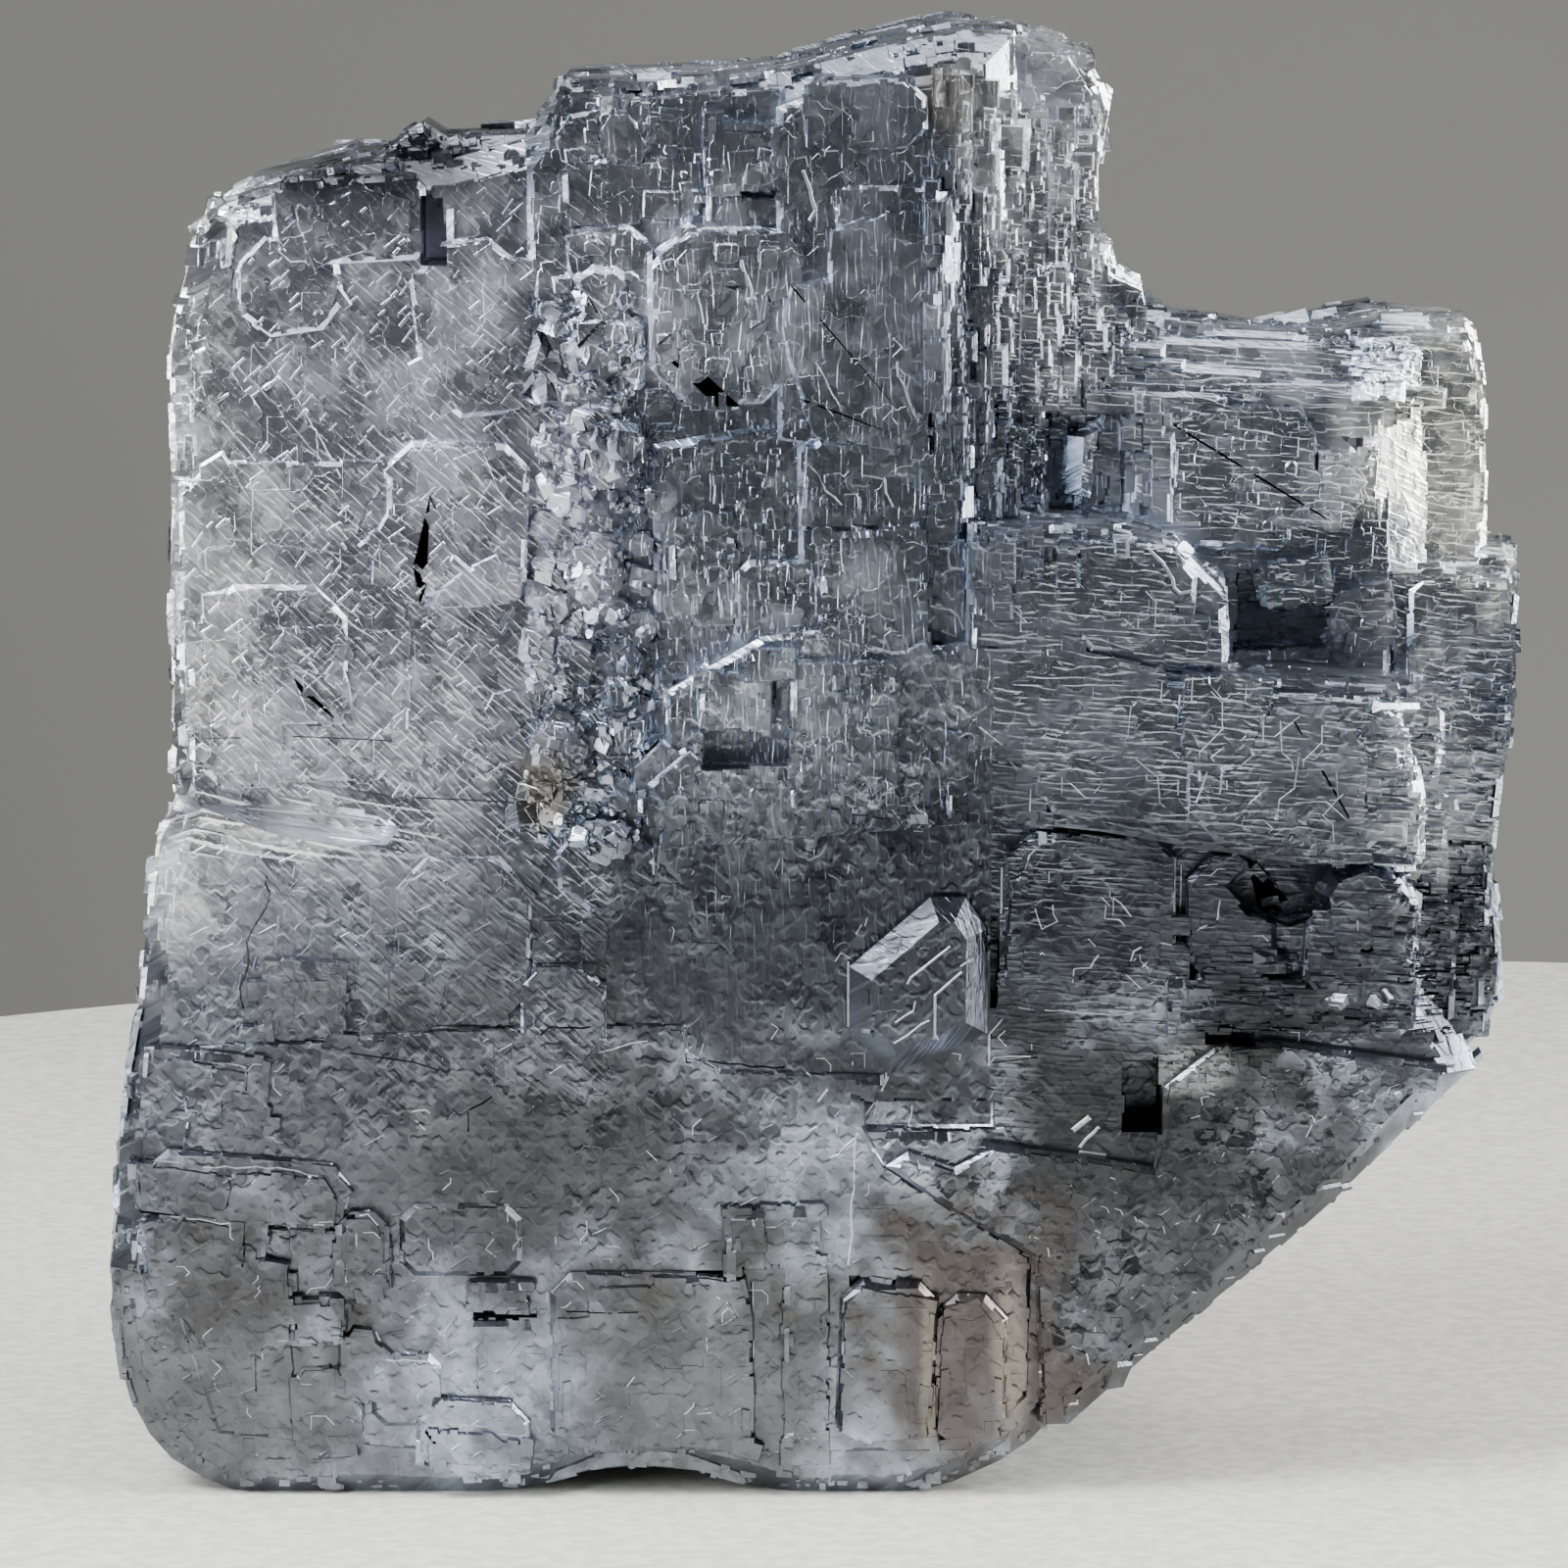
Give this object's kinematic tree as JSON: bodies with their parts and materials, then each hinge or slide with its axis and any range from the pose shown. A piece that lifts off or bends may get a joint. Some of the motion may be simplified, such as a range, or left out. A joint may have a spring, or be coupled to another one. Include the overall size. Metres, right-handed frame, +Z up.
{
  "type": "galena crystal",
  "caption": "Tabular galena specimen of intergrown stepped cubic crystals, standing upright on two flat feet, with a notched left edge and a recessed right shoulder.",
  "frame": {"origin": "middle of the base of the bounding box, in the plane the feet stand on", "axes": "+X to the right seen from the broad front, +Y to the back through the thickness, +Z up"},
  "size_m": [0.097, 0.0374, 0.1004],
  "materials": {
    "galena": "lead-grey natural crystal faces, bright on fresh cleavage and dull in the hollows"
  },
  "bodies": {
    "root": {"galena_crystal": "galena"}
  },
  "joints": []
}
